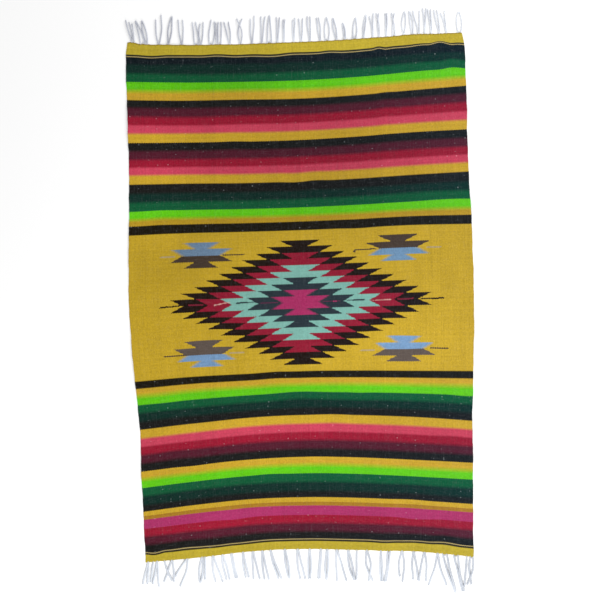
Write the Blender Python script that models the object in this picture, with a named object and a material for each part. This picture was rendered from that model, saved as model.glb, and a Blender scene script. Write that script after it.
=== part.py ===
"""A serape laid flat: one woven cloth, and the warp fringe at each of its two hems.

The script is in metres with +Z up, and its tables are in millimetres. +X runs across the cloth, +Y runs
along its warp, and the origin is at the middle of the piece, on the surface that it lies on.
"""

import math
from collections import namedtuple

import bmesh
import bpy
from mathutils import Vector

MM = 0.001

# Driving dimensions, in millimetres
WALL = 2.2  # thickness of the woven cloth
SEAM_GAP = 0.3  # between the cloth's hem and the header strip of a fringe
HEADER_DEPTH = 4.0  # how far a header strip reaches out from the hem
HEADER_INSET = 2.0  # how far a header strip stops short of the selvedges
HEADER_REACH = 40.0  # longest stretch of a header strip between two of its sections
STRAND_WIDTH = 3.0
STRAND_HEIGHT = 2.2
STRAND_TAPER = 0.8  # width of a strand's tip, as a share of its root
STRAND_CLEARANCE = 0.5  # under a strand that lies free
STRAND_LIFT = 3.6  # how much higher a strand rides where it passes over another
STRAND_STEPS = 4
LEAN_AT_MIDDLE = 0.42  # share of a strand's lean that it has taken half way along
ORIGIN_SHIFT = (-1.1, 1.0)  # from the middle of the tables to the middle of the whole piece

# The cloth is a grid of this many columns across and rows along
COLUMNS = 36
ROWS = 42

# Weft lines of the cloth, from the upper hem to the lower. A line lies at its level where it crosses the
# middle warp, and left and right are its ends at the selvedges. Rises are how far it lies above its
# level at seven even stations from left to right.
Section = namedtuple("Section", "level left right rises")
SECTIONS = (
    Section(931, -619, 585, (-6, -10, -7, 0, 10, 27, 31)),
    Section(896, -630, 592, (-7, -9, -5, 0, 10, 27, 33)),
    Section(729, -625, 598, (-5, -7, -3, 0, 12, 30, 47)),
    Section(579, -620, 602, (-11, -9, -6, 0, 12, 28, 39)),
    Section(431, -617, 608, (-12, -8, -6, 0, 10, 24, 36)),
    Section(255, -617, 618, (-20, -11, -6, 0, 9, 19, 23)),
    Section(-4, -615, 626, (-23, -15, -7, 0, 7, 13, 19)),
    Section(-252, -594, 624, (-39, -21, -10, 0, 2, 1, 0)),
    Section(-409, -578, 620, (-54, -31, -10, 0, -1, -8, -21)),
    Section(-560, -571, 623, (-54, -30, -10, 0, -3, -12, -22)),
    Section(-705, -564, 623, (-53, -27, -7, 0, -3, -12, -25)),
    Section(-894, -553, 628, (-46, -28, -6, 0, -4, -10, -28)),
)

# Places where the cloth stands off the surface: three fold lines left from storage, which run along the
# warp, then soft waves at the selvedges, then waves at the hems. Each is a rounded rise with its middle
# at across and along, its half sizes, and its height.
Rise = namedtuple("Rise", "across along half_across half_along height")
RISES = (
    Rise(6, 20, 58, 900, 3.6),
    Rise(-302, 560, 46, 420, 2.2),
    Rise(-296, -420, 50, 430, 2.6),
    Rise(303, 500, 52, 470, 3.0),
    Rise(300, -500, 46, 330, 2.0),
    Rise(-640, 640, 95, 150, 4.2),
    Rise(-630, 190, 80, 190, 3.2),
    Rise(-620, -210, 110, 170, 4.6),
    Rise(-585, -620, 85, 140, 3.6),
    Rise(610, 700, 90, 120, 3.8),
    Rise(625, 330, 85, 170, 3.4),
    Rise(640, -90, 100, 150, 4.4),
    Rise(630, -470, 90, 180, 3.6),
    Rise(-455, 950, 85, 80, 3.0),
    Rise(-120, 955, 95, 75, 2.6),
    Rise(170, 960, 80, 85, 3.2),
    Rise(440, 975, 75, 80, 2.6),
    Rise(-420, -930, 90, 80, 3.2),
    Rise(-150, -920, 80, 75, 2.4),
    Rise(150, -915, 90, 80, 3.0),
    Rise(420, -925, 85, 75, 2.8),
)

# A lock of fringe is a pair of strands that leave one knot, or a single strand where foot, bow and tips
# are 0. Root is its place across the hem. Foot, bow and tips are the widths between its two strands at
# the hem, half way and at their tips, and tips is below 0 where they cross. Lean is how far the tips
# stand to the right of the root, reach is how far they stand out from the hem, and step is how much
# further the right strand reaches.
Lock = namedtuple("Lock", "root foot bow tips lean reach step")
TOP_LOCKS = (
    Lock(-608, 5, 9, 9, -14, 76, -7),
    Lock(-600, 0, 0, 0, -5, 68, 0),
    Lock(-577, 17, 11, 4, -14, 81, 0),
    Lock(-550, 7, 12, 4, -14, 82, 0),
    Lock(-508, 7, 20, 20, -1, 86, 18),
    Lock(-474, 5, 13, 4, 13, 99, 0),
    Lock(-425, 7, 14, 17, -6, 86, 0),
    Lock(-372, 15, 15, 11, -9, 78, 0),
    Lock(-357, 6, 14, 11, 2, 72, 6),
    Lock(-320, 13, 20, 12, 6, 86, -7),
    Lock(-301, 0, 0, 0, -2, 74, 0),
    Lock(-289, 10, 12, 11, -1, 77, 0),
    Lock(-252, 7, 13, 16, -13, 77, 0),
    Lock(-214, 9, 14, -20, -5, 88, 0),
    Lock(-173, 6, 12, 15, 1, 86, 10),
    Lock(-138, 6, 9, 14, 5, 94, 0),
    Lock(-110, 16, 12, 4, -1, 97, 0),
    Lock(-81, 5, 7, 12, 2, 88, 0),
    Lock(-58, 5, 5, 5, 0, 79, 0),
    Lock(-22, 5, 6, 9, -1, 76, 7),
    Lock(4, 5, 10, 14, -1, 81, 0),
    Lock(36, 5, 10, 10, -6, 86, 0),
    Lock(73, 5, 10, 9, -10, 81, 0),
    Lock(97, 12, 17, 5, -1, 81, 0),
    Lock(132, 5, 11, 4, -15, 77, 0),
    Lock(163, 5, 7, 4, -9, 57, 0),
    Lock(196, 11, 14, 4, 4, 74, 0),
    Lock(228, 5, 8, 5, 8, 81, 0),
    Lock(262, 5, 5, 14, -5, 74, 10),
    Lock(285, 6, 6, -10, -7, 82, 0),
    Lock(311, 7, 5, 7, -1, 81, 0),
    Lock(338, 11, 6, -12, -4, 79, 0),
    Lock(373, 5, 14, 6, 2, 81, 0),
    Lock(406, 9, 11, 5, -12, 81, 0),
    Lock(429, 5, 13, 22, -12, 81, 0),
    Lock(450, 5, 5, 14, -3, 90, 0),
    Lock(473, 5, 7, 10, -8, 85, 0),
    Lock(502, 5, 10, 11, -16, 81, 0),
    Lock(527, 5, 5, 15, -14, 70, 7),
    Lock(574, 11, 19, 8, -2, 76, -7),
)
BOTTOM_LOCKS = (
    Lock(-546, 6, 9, 16, -12, 76, 0),
    Lock(-528, 0, 0, 0, -9, 70, 0),
    Lock(-514, 5, 10, 22, -4, 79, 9),
    Lock(-489, 0, 0, 0, 28, 68, 0),
    Lock(-460, 5, 20, 36, -10, 75, 0),
    Lock(-404, 5, 20, 16, -36, 61, 36),
    Lock(-352, 9, 13, 7, -8, 88, 0),
    Lock(-342, 0, 0, 0, 2, 79, 0),
    Lock(-314, 7, 18, 26, 23, 90, 0),
    Lock(-279, 6, 13, 13, 21, 86, 0),
    Lock(-247, 9, 5, 5, 19, 85, 0),
    Lock(-206, 5, 9, 12, 16, 88, 0),
    Lock(-170, 5, 13, 22, 15, 97, 0),
    Lock(-136, 5, 11, 15, 16, 101, 0),
    Lock(-107, 5, 7, 12, 35, 99, 0),
    Lock(-55, 6, 10, 7, 18, 101, 0),
    Lock(-9, 7, 15, 18, 18, 104, 0),
    Lock(35, 5, 9, 7, 0, 103, 0),
    Lock(75, 5, 5, 5, -7, 103, 0),
    Lock(98, 5, 10, 5, -4, 107, 0),
    Lock(132, 5, 20, 34, 19, 110, 0),
    Lock(172, 6, 12, 5, 23, 106, 0),
    Lock(204, 0, 0, 0, -1, 104, 0),
    Lock(240, 5, 17, -16, 15, 108, 0),
    Lock(291, 5, 6, 7, 2, 106, 0),
    Lock(320, 10, 5, 6, -12, 106, 0),
    Lock(367, 5, 20, 9, -4, 88, 20),
    Lock(408, 6, 15, 18, 7, 99, 0),
    Lock(448, 5, 20, 25, -7, 101, 0),
    Lock(495, 6, 22, 65, -1, 112, 0),
    Lock(520, 16, 10, 5, 40, 136, 0),
    Lock(560, 16, 7, 5, 27, 126, 0),
    Lock(600, 0, 0, 0, -5, 97, 0),
    Lock(618, 11, 12, -15, -8, 97, 0),
)
Strand = namedtuple("Strand", "root middle tip reach lift")


def smooth(knots, values, place):
    """The value at a place on a smooth curve through the knots, which run upwards."""
    last = len(knots) - 1
    place = min(max(place, knots[0]), knots[-1])
    i = next(k for k in range(last) if place <= knots[k + 1])
    span = knots[i + 1] - knots[i]
    t = (place - knots[i]) / span

    def slope(k):
        low, high = max(k - 1, 0), min(k + 1, last)
        return (values[high] - values[low]) / (knots[high] - knots[low])

    rise = values[i + 1] - values[i]
    start, end = slope(i) * span, slope(i + 1) * span
    return values[i] + t * (start + t * (3 * rise - 2 * start - end + t * (start + end - 2 * rise)))


LEVELS = [section.level for section in reversed(SECTIONS)]
STATIONS = [k / 6 for k in range(7)]
UPPER_HEM, LOWER_HEM = LEVELS[-1], LEVELS[0]


def section_at(level):
    """The weft line at a level: its two ends and its rises."""
    rows = SECTIONS[::-1]
    left = smooth(LEVELS, [row.left for row in rows], level)
    right = smooth(LEVELS, [row.right for row in rows], level)
    rises = [smooth(LEVELS, [row.rises[k] for row in rows], level) for k in range(len(STATIONS))]
    return Section(level, left, right, rises)


def stand_off(x, y):
    """How far the cloth's underside stands above the surface, in millimetres."""
    highest = 0.0
    for rise in RISES:
        away = math.hypot((x - rise.across) / rise.half_across, (y - rise.along) / rise.half_along)
        if away < 1:
            highest = max(highest, rise.height * math.cos(away * math.pi / 2) ** 2)
    return highest


def cloth_point(section, across, outward=0.0):
    """A point of the cloth's underside, across from 0 to 1 on a weft line, moved along the warp."""
    x = section.left + across * (section.right - section.left)
    y = section.level + smooth(STATIONS, section.rises, across) + outward
    height = stand_off(x, y)
    return Vector((x - ORIGIN_SHIFT[0], y - ORIGIN_SHIFT[1], height)) * MM


def raise_wall(bm):
    """Turns a sheet into a wall by raising a copy of it, joined round the edge."""
    copied = bmesh.ops.extrude_face_region(bm, geom=bm.faces[:])["geom"]
    upper = [part for part in copied if isinstance(part, bmesh.types.BMVert)]
    bmesh.ops.translate(bm, verts=upper, vec=(0, 0, WALL * MM))
    bmesh.ops.recalc_face_normals(bm, faces=bm.faces[:])


def finish_object(bm, name, colour, roughness):
    """Makes the mesh an object with a material of its own."""
    mesh = bpy.data.meshes.new(name)
    bm.to_mesh(mesh)
    bm.free()
    material = bpy.data.materials.new(name)
    material.use_nodes = True
    shader = material.node_tree.nodes["Principled BSDF"]
    shader.inputs["Base Color"].default_value = (*colour, 1)
    shader.inputs["Roughness"].default_value = roughness
    shader.inputs["Metallic"].default_value = 0.0
    mesh.materials.append(material)
    bpy.context.collection.objects.link(bpy.data.objects.new(name, mesh))


def make_web():
    """The woven cloth, from selvedge to selvedge and hem to hem."""
    bm = bmesh.new()
    bmesh.ops.create_grid(bm, x_segments=COLUMNS, y_segments=ROWS, size=0.5)
    lines = {}
    for vert in bm.verts:
        row = round((vert.co.y + 0.5) * ROWS)
        if row not in lines:
            lines[row] = section_at(LOWER_HEM + (UPPER_HEM - LOWER_HEM) * row / ROWS)
        vert.co = cloth_point(lines[row], vert.co.x + 0.5)
    raise_wall(bm)
    finish_object(bm, "web", (0.52, 0.31, 0.03), 0.9)


def strands_of(lock):
    """The strands of a lock, as places across the hem at the root, the middle and the tip."""
    middle = lock.root + LEAN_AT_MIDDLE * lock.lean
    tip = lock.root + lock.lean
    if lock.foot == 0:
        return [Strand(lock.root, middle, tip, lock.reach, STRAND_LIFT)]
    crossing = STRAND_LIFT if lock.tips < 0 else 0.0
    left = Strand(lock.root - lock.foot / 2, middle - lock.bow / 2, tip - lock.tips / 2, lock.reach, 0.0)
    right = Strand(
        lock.root + lock.foot / 2,
        middle + lock.bow / 2,
        tip + lock.tips / 2,
        lock.reach + lock.step,
        crossing,
    )
    return [left, right]


def header_stations(section, strands):
    """Places across the hem where the header strip has a section, with each strand's two sides."""
    sides = [strand.root + side * STRAND_WIDTH / 2 for strand in strands for side in (-1, 1)]
    ends = [section.left + HEADER_INSET, *sides, section.right - HEADER_INSET]
    stations = ends[:1]
    for place in ends[1:]:
        pieces = math.ceil((place - stations[-1]) / HEADER_REACH)
        start = stations[-1]
        stations += [start + (place - start) * k / pieces for k in range(1, pieces)]
        stations.append(place)
    return stations


def grow_strand(bm, face, strand, outward):
    """Draws a strand out of a face of the header strip."""
    start = face.calc_center_median()
    root_height = start.z / MM
    free_height = STRAND_CLEARANCE + STRAND_HEIGHT / 2

    def centre(t):
        x = smooth([0, 0.5, 1], [strand.root, strand.middle, strand.tip], t)
        settled = min(1.0, 2.5 * t)
        height = root_height + (free_height - root_height) * settled
        height += strand.lift * math.sin(math.pi * t**1.5)
        return start + Vector((x - strand.root, outward * strand.reach * t, height - root_height)) * MM

    for step in range(1, STRAND_STEPS + 1):
        t = step / STRAND_STEPS
        middle = face.calc_center_median()
        place = centre(t)
        along = place - centre(t - 1 / STRAND_STEPS)
        side = Vector((abs(along.y), -along.x * outward, 0)).normalized()
        width = STRAND_WIDTH * (1 + (STRAND_TAPER - 1) * t) * MM
        face = bmesh.ops.extrude_discrete_faces(bm, faces=[face])["faces"][0]
        for vert in face.verts:
            to_right = math.copysign(width / 2, vert.co.x - middle.x)
            to_top = math.copysign(STRAND_HEIGHT / 2 * MM, vert.co.z - middle.z)
            vert.co = place + side * to_right + Vector((0, 0, to_top))


def make_fringe(name, locks, hem, outward):
    """A fringe: a header strip along a hem, with its strands drawn out of the strip's outer side."""
    section = section_at(hem)
    strands = sorted((s for lock in locks for s in strands_of(lock)), key=lambda s: s.root)
    stations = header_stations(section, strands)
    count = len(stations) - 1
    bm = bmesh.new()
    bmesh.ops.create_grid(bm, x_segments=count, y_segments=1, size=0.5)
    for vert in bm.verts:
        x = stations[round((vert.co.x + 0.5) * count)]
        depth = SEAM_GAP + (HEADER_DEPTH if vert.co.y > 0 else 0.0)
        across = (x - section.left) / (section.right - section.left)
        vert.co = cloth_point(section, across, outward * depth)
    raise_wall(bm)
    outer = [f for f in bm.faces if f.normal.y * outward > 0.5 and abs(f.normal.z) < 0.5]
    outer.sort(key=lambda f: f.calc_center_median().x)
    starts = [stations.index(strand.root - STRAND_WIDTH / 2) for strand in strands]
    for strand, face in zip(strands, [outer[i] for i in starts]):
        grow_strand(bm, face, strand, outward)
    bmesh.ops.recalc_face_normals(bm, faces=bm.faces[:])
    finish_object(bm, name, (0.75, 0.75, 0.8), 0.85)


def main():
    for old in list(bpy.data.objects):
        bpy.data.objects.remove(old)
    make_web()
    make_fringe("fringe_top", TOP_LOCKS, UPPER_HEM, 1)
    make_fringe("fringe_bottom", BOTTOM_LOCKS, LOWER_HEM, -1)


main()
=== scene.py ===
"""The looks of a serape laid flat: its woven cloth, its knotted warp fringe, the floor, light and camera.

Meshes are in metres with +Z up. The tables are in millimetres, with +X across the cloth from the selvedge
at the left and +Y along its warp, and the cloth's own coordinates are u across and v along, measured on
the weave from its middle.
"""

import math
from collections import namedtuple

import bmesh
import bpy
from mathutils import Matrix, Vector, noise


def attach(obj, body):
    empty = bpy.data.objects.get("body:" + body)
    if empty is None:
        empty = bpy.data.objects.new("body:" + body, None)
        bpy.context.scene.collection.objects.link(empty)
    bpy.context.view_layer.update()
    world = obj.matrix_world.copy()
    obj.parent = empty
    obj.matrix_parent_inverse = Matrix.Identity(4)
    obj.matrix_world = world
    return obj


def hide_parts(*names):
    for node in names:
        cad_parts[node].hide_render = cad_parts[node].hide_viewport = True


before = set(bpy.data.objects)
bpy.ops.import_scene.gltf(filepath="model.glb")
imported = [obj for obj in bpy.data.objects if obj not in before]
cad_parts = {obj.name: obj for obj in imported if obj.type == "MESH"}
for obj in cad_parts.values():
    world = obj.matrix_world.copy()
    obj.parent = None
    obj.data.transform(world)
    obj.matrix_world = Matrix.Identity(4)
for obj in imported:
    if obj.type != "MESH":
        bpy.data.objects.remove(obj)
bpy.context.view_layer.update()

MM = 0.001
UP = Vector((0, 0, 1))


def table(kind, *rows):
    """The rows of a table, each made one of a kind."""
    return [kind(*row) for row in rows]


# Driving dimensions, in millimetres
WALL = 2.2  # thickness of the woven cloth
CLOTH_WIDTH = 1240.0  # woven width
WARP_PITCH = 4.2  # from one warp to the next
BEAD_HEIGHT = 2.7  # along the warp, of one weft's turn over a warp
HEM_TURN = 0.8  # how far the last weft bulges past the hem line
STRAND_LIFT = 3.6  # how much higher a strand rides where it passes over another
LEAN_AT_MIDDLE = 0.42  # share of a strand's lean that it has taken half way along
ORIGIN_SHIFT = (-1.1, 1.0)  # from the middle of the tables to the middle of the whole piece

# Weft lines of the cloth, from the upper hem to the lower. A line lies at its level where it crosses the
# middle warp, and left and right are its ends at the selvedges. Rises are how far it lies above its
# level at seven even stations from left to right.
Section = namedtuple("Section", "level left right rises")
SECTIONS = table(
    Section,
    (931, -621, 583, (-6, -10, -7, 0, 10, 27, 31)),
    (896, -627, 591, (-7, -9, -5, 0, 10, 27, 33)),
    (729, -623, 598, (-5, -7, -3, 0, 12, 30, 47)),
    (579, -618, 602, (-11, -9, -6, 0, 12, 28, 39)),
    (431, -615, 607, (-12, -8, -6, 0, 10, 24, 36)),
    (255, -616, 618, (-20, -11, -6, 0, 9, 19, 23)),
    (-4, -615, 626, (-23, -15, -7, 0, 7, 13, 19)),
    (-252, -594, 624, (-39, -21, -10, 0, 2, 1, 0)),
    (-409, -576, 620, (-54, -31, -10, 0, -1, -8, -21)),
    (-560, -571, 623, (-54, -30, -10, 0, -3, -12, -22)),
    (-705, -564, 623, (-53, -27, -7, 0, -3, -12, -25)),
    (-891, -556, 625, (-48, -30, -7, 0, -4, -10, -28)),
)

# Places where the cloth stands off the surface, each a rounded rise with its middle at across and along,
# its half sizes, and its height.
Rise = namedtuple("Rise", "across along half_across half_along height")
RISES = table(
    Rise,
    (6, 20, 58, 900, 3.6),
    (-302, 560, 46, 420, 2.2),
    (-296, -420, 50, 430, 2.6),
    (303, 500, 52, 470, 3.0),
    (300, -500, 46, 330, 2.0),
    (-640, 640, 95, 150, 4.2),
    (-630, 190, 80, 190, 3.2),
    (-620, -210, 110, 170, 4.6),
    (-585, -620, 85, 140, 3.6),
    (610, 700, 90, 120, 3.8),
    (625, 330, 85, 170, 3.4),
    (640, -90, 100, 150, 4.4),
    (630, -470, 90, 180, 3.6),
    (-455, 950, 85, 80, 3.0),
    (-120, 955, 95, 75, 2.6),
    (170, 960, 80, 85, 3.2),
    (440, 975, 75, 80, 2.6),
    (-420, -930, 90, 80, 3.2),
    (-150, -920, 80, 75, 2.4),
    (150, -915, 90, 80, 3.0),
    (420, -925, 85, 75, 2.8),
)

# Creases run along the warp from low to high. Each starts at across and has moved to the right by lean
# at its upper end. A height below 0 is a trough.
Crease = namedtuple("Crease", "across lean low high half_width height")
CREASES = table(
    Crease,
    (6, -5, -890, 925, 9, 1.7),
    (-300, -5, -880, 905, 9, 1.3),
    (300, 6, -870, 925, 9, 1.4),
    (-76, 8, -860, -330, 7, 1.1),
    (-148, -12, -60, 520, 12, 0.5),
    (148, 10, -790, -240, 9, 0.9),
    (214, 6, -880, -350, 7, 1.1),
    (468, -8, -880, -300, 8, 1.0),
    (444, 14, 240, 905, 8, 1.0),
    (-446, 10, 330, 900, 9, 0.9),
    (-430, -16, -840, -190, 11, 0.6),
    (22, -3, -600, 700, 9, -0.8),
    (-318, 4, -700, 480, 9, -0.6),
    (318, -4, -560, 860, 9, -0.7),
)

# Places where a weft line strays from its smooth course, with the shift along the warp at the middle.
Waver = namedtuple("Waver", "across along half_across half_along shift")
WAVERS = table(
    Waver,
    (-575, 880, 70, 60, -1.2),
    (-612, 926, 44, 24, 6.0),
    (325, 948, 80, 30, -2.5),
    (565, 962, 95, 32, 3.4),
    (-532, 880, 60, 60, -3.6),
    (-358, 880, 50, 60, -1.0),
    (-288, 880, 60, 70, 2.3),
    (-230, 880, 110, 60, -3.5),
    (-105, 880, 90, 60, -4.6),
    (-30, 885, 60, 60, 1.2),
    (108, 885, 50, 60, 3.0),
    (182, 885, 70, 60, -0.8),
    (282, 906, 26, 34, 4.5),
    (312, 907, 24, 34, -1.6),
    (450, 912, 80, 30, 6.0),
    (507, 917, 50, 30, 13.0),
    (567, 920, 44, 30, 4.5),
    (-250, 812, 330, 34, -5.5),
    (-380, 655, 260, 40, -2.5),
    (470, 850, 200, 60, 3.0),
    (548, 856, 56, 60, 7.5),
    (470, 396, 190, 30, 2.0),
    (545, 366, 170, 45, 4.6),
    (-522, -903, 42, 34, -6.0),
    (-410, -872, 60, 50, 2.5),
    (-300, -872, 60, 60, -2.2),
    (-210, -866, 110, 50, -3.0),
    (300, -872, 60, 60, -2.5),
    (420, -872, 70, 60, 2.4),
    (520, -866, 75, 45, 5.0),
    (-240, -775, 90, 40, -4.5),
    (420, -780, 100, 40, -5.0),
    (-240, 560, 80, 90, 2.0),
    (-20, 440, 70, 90, -2.4),
    (60, 430, 60, 80, 2.0),
    (310, 700, 50, 120, 2.2),
    (-500, 300, 90, 90, 2.0),
    (210, 250, 90, 70, -2.2),
    (-400, -4, 110, 40, 2.5),
    (-330, -110, 160, 100, 5.5),
    (330, -110, 150, 90, 3.5),
    (450, -180, 90, 60, 2.5),
    (-90, -270, 90, 80, 2.2),
    (0, -345, 130, 45, 5.0),
    (-500, -345, 110, 45, -2.0),
    (215, -345, 60, 45, -2.0),
    (600, -345, 80, 45, -3.5),
    (120, -430, 90, 90, 1.8),
    (-380, -590, 90, 80, -2.0),
    (400, -700, 90, 90, 2.2),
    (-470, -420, 150, 40, 2.6),
    (560, -484, 90, 40, 2.8),
    (-440, -556, 100, 40, 3.0),
    (-110, -628, 90, 40, 2.0),
)

# A lock of fringe is a pair of strands that leave one knot, or a single strand where foot, bow and tips
# are 0. Root is its place across the hem. Foot, bow and tips are the widths between its two strands at
# the hem, half way and at their tips, and tips is below 0 where they cross. Lean is how far the tips
# stand to the right of the root, reach is how far they stand out from the hem, and step is how much
# further the right strand reaches.
Lock = namedtuple("Lock", "root foot bow tips lean reach step")
TOP_LOCKS = table(
    Lock,
    (-604, 5, 11, 11, -18, 76, -7),
    (-596, 0, 0, 0, -9, 66, 0),
    (-565, 16, 12, 4, -26, 81, 0),
    (-550, 7, 12, 5, -20, 82, 0),
    (-508, 7, 20, 20, -1, 86, 18),
    (-474, 5, 13, 4, 13, 99, 0),
    (-425, 7, 14, 17, -6, 86, 0),
    (-372, 15, 15, 11, -9, 78, 0),
    (-357, 6, 14, 11, 2, 72, 6),
    (-320, 13, 20, 12, 6, 86, -7),
    (-301, 0, 0, 0, -2, 74, 0),
    (-289, 10, 12, 11, -1, 77, 0),
    (-252, 7, 13, 16, -13, 77, 0),
    (-214, 9, 14, -20, -5, 88, 0),
    (-173, 6, 12, 15, 1, 86, 10),
    (-138, 6, 9, 14, 5, 94, 0),
    (-110, 16, 12, 4, -1, 97, 0),
    (-81, 5, 7, 12, 2, 88, 0),
    (-58, 5, 5, 5, 0, 79, 0),
    (-22, 5, 6, 9, -1, 76, 7),
    (4, 5, 10, 14, -1, 81, 0),
    (36, 5, 10, 10, -6, 86, 0),
    (73, 5, 10, 9, -10, 81, 0),
    (97, 12, 17, 5, -1, 81, 0),
    (132, 5, 11, 4, -15, 77, 0),
    (163, 5, 7, 4, -9, 57, 0),
    (196, 11, 14, 4, 4, 74, 0),
    (228, 5, 8, 5, 8, 81, 0),
    (262, 5, 5, 14, -5, 74, 10),
    (285, 6, 6, -10, -7, 82, 0),
    (311, 7, 5, 7, -1, 81, 0),
    (338, 11, 6, -12, -4, 79, 0),
    (373, 5, 14, 6, 2, 81, 0),
    (406, 9, 11, 5, -12, 81, 0),
    (429, 5, 13, 22, -12, 81, 0),
    (450, 5, 5, 14, -3, 90, 0),
    (473, 5, 7, 10, -8, 85, 0),
    (502, 5, 10, 11, -16, 81, 0),
    (527, 5, 5, 15, -14, 70, 7),
    (574, 11, 19, 8, -2, 76, -7),
)
BOTTOM_LOCKS = table(
    Lock,
    (-546, 6, 9, 16, -12, 76, 0),
    (-528, 0, 0, 0, -9, 70, 0),
    (-514, 5, 10, 22, -4, 79, 9),
    (-489, 0, 0, 0, 28, 68, 0),
    (-460, 5, 20, 36, -10, 75, 0),
    (-404, 5, 20, 16, -36, 61, 36),
    (-352, 9, 13, 7, -8, 88, 0),
    (-342, 0, 0, 0, 2, 79, 0),
    (-314, 7, 18, 26, 23, 90, 0),
    (-279, 6, 13, 13, 21, 86, 0),
    (-247, 9, 5, 5, 19, 85, 0),
    (-206, 5, 9, 12, 16, 88, 0),
    (-170, 5, 13, 22, 15, 97, 0),
    (-136, 5, 11, 15, 16, 101, 0),
    (-107, 5, 7, 12, 35, 99, 0),
    (-55, 6, 10, 7, 18, 101, 0),
    (-9, 7, 15, 18, 18, 104, 0),
    (35, 5, 9, 7, 0, 103, 0),
    (75, 5, 5, 5, -7, 103, 0),
    (98, 5, 10, 5, -4, 107, 0),
    (132, 5, 20, 34, 19, 110, 0),
    (172, 6, 12, 5, 23, 106, 0),
    (204, 0, 0, 0, -1, 104, 0),
    (240, 5, 17, -16, 15, 108, 0),
    (291, 5, 6, 7, 2, 106, 0),
    (320, 10, 5, 6, -12, 106, 0),
    (367, 5, 20, 9, -4, 88, 20),
    (408, 6, 15, 18, 7, 99, 0),
    (448, 5, 20, 25, -7, 101, 0),
    (495, 6, 22, 65, -1, 112, 0),
    (520, 16, 10, 5, 40, 136, 0),
    (560, 16, 7, 5, 27, 126, 0),
    (600, 0, 0, 0, -10, 106, 0),
    (618, 11, 12, -15, -8, 97, 0),
)
Strand = namedtuple("Strand", "root middle tip reach lift")

# Yarns, as sRGB values from 0 to 255
YARNS = {
    "heading": (175, 155, 44),
    "field": (178, 147, 36),
    "gold": (180, 145, 38),
    "amber": (164, 132, 29),
    "ochre": (148, 107, 29),
    "header_gold": (172, 153, 98),
    # Painted shade: the darker line along the upper hem, where its edge turns under by the knots
    "hem_shade": (138, 116, 34),
    "black": (19, 19, 17),
    "field_black": (21, 16, 4),
    "brown_black": (25, 13, 5),
    "blue_black": (9, 20, 25),
    "night_green": (7, 39, 32),
    "dark_green": (9, 78, 46),
    "bright_green": (87, 180, 15),
    "plum": (71, 20, 35),
    "crimson": (135, 18, 41),
    "pink": (180, 58, 80),
    "magenta_band": (151, 43, 89),
    "magenta": (152, 40, 87),
    "mint": (114, 163, 152),
    "slate": (35, 45, 51),
    "red": (129, 21, 42),
    "dull_blue": (100, 123, 147),
    "blue": (101, 133, 163),
    "clear_blue": (107, 138, 172),
    "brown": (65, 52, 42),
    "pale_brown": (84, 73, 66),
    "dark_red": (106, 24, 42),
    "dim_magenta": (92, 32, 62),
    "pale_pink": (186, 142, 134),
    "pale_blue": (162, 144, 104),
}
# Dark yarns, and with them all the yarns that are spun with pale slubs
DARK_YARNS = {"black", "field_black", "blue_black", "night_green", "dark_green", "plum", "crimson"}
SLUBBED = DARK_YARNS | {"pink", "magenta_band"}
# Where stripes of dark yarns meet, or of these pairs, the weaver blends one into the next, over a length
# in millimetres. All others meet crisply.
DARK_BLEND = 12.0
CRISP_BLEND = 0.2
BLENDS = {
    frozenset(("bright_green", "gold")): 20.0,
    frozenset(("bright_green", "amber")): 15.0,
    frozenset(("pink", "gold")): 9.0,
    frozenset(("pink", "crimson")): 7.0,
}

# Painted light and shade: places where the cloth's colour is made paler, by the share given at the middle,
# or darker where that is below 0, for the light and shade that fall over it
LightPatch = namedtuple("LightPatch", "u v half_u half_v share")
LIGHT_PATCHES = table(
    LightPatch,
    (-560, 480, 230, 380, 0.20),
    (110, 450, 520, 330, -0.15),
    (-200, 785, 260, 120, -0.15),
    (110, 905, 330, 60, 0.10),
    (-260, 255, 220, 110, -0.09),
    (270, -150, 560, 260, 0.14),
    (-470, 130, 260, 180, -0.12),
    (-110, -490, 560, 210, 0.12),
    (-260, -800, 420, 90, 0.12),
    (0, -890, 3000, 50, -0.13),
)

# The four bands of stripes, from the upper hem to the lower. A stripe runs from its upper edge down to
# the next one's, in v.
Stripe = namedtuple("Stripe", "top yarn")
STRIPES = (
    table(
        Stripe,
        (940, "heading"), (895, "blue_black"), (859, "night_green"), (825, "dark_green"),
        (794, "bright_green"), (761, "gold"), (729, "black"), (701, "plum"), (671, "crimson"),
        (641, "pink"), (612, "gold"),
    ),
    table(
        Stripe,
        (580, "black"), (550, "plum"), (519, "crimson"), (491, "pink"), (463, "gold"),
        (431, "black"), (398, "night_green"), (367, "dark_green"), (337, "bright_green"),
        (309, "amber"), (287, "field_black"), (255, "field"),
    ),
    table(
        Stripe,
        (-230, "field"), (-251, "field_black"), (-276, "gold"), (-299, "bright_green"),
        (-328, "dark_green"), (-354, "night_green"), (-383, "black"), (-409, "gold"),
        (-440, "pink"), (-470, "crimson"), (-499, "plum"), (-530, "black"),
    ),
    table(
        Stripe,
        (-559, "gold"), (-588, "bright_green"), (-619, "dark_green"), (-649, "night_green"),
        (-682, "black"), (-705, "gold"), (-721, "ochre"), (-735, "magenta_band"),
        (-769, "crimson"), (-797, "plum"), (-827, "black"), (-863, "heading"),
    ),
)
BAND_BOTTOMS = (580, 230, -559, -904)  # where the last stripe of each band ends

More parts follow.
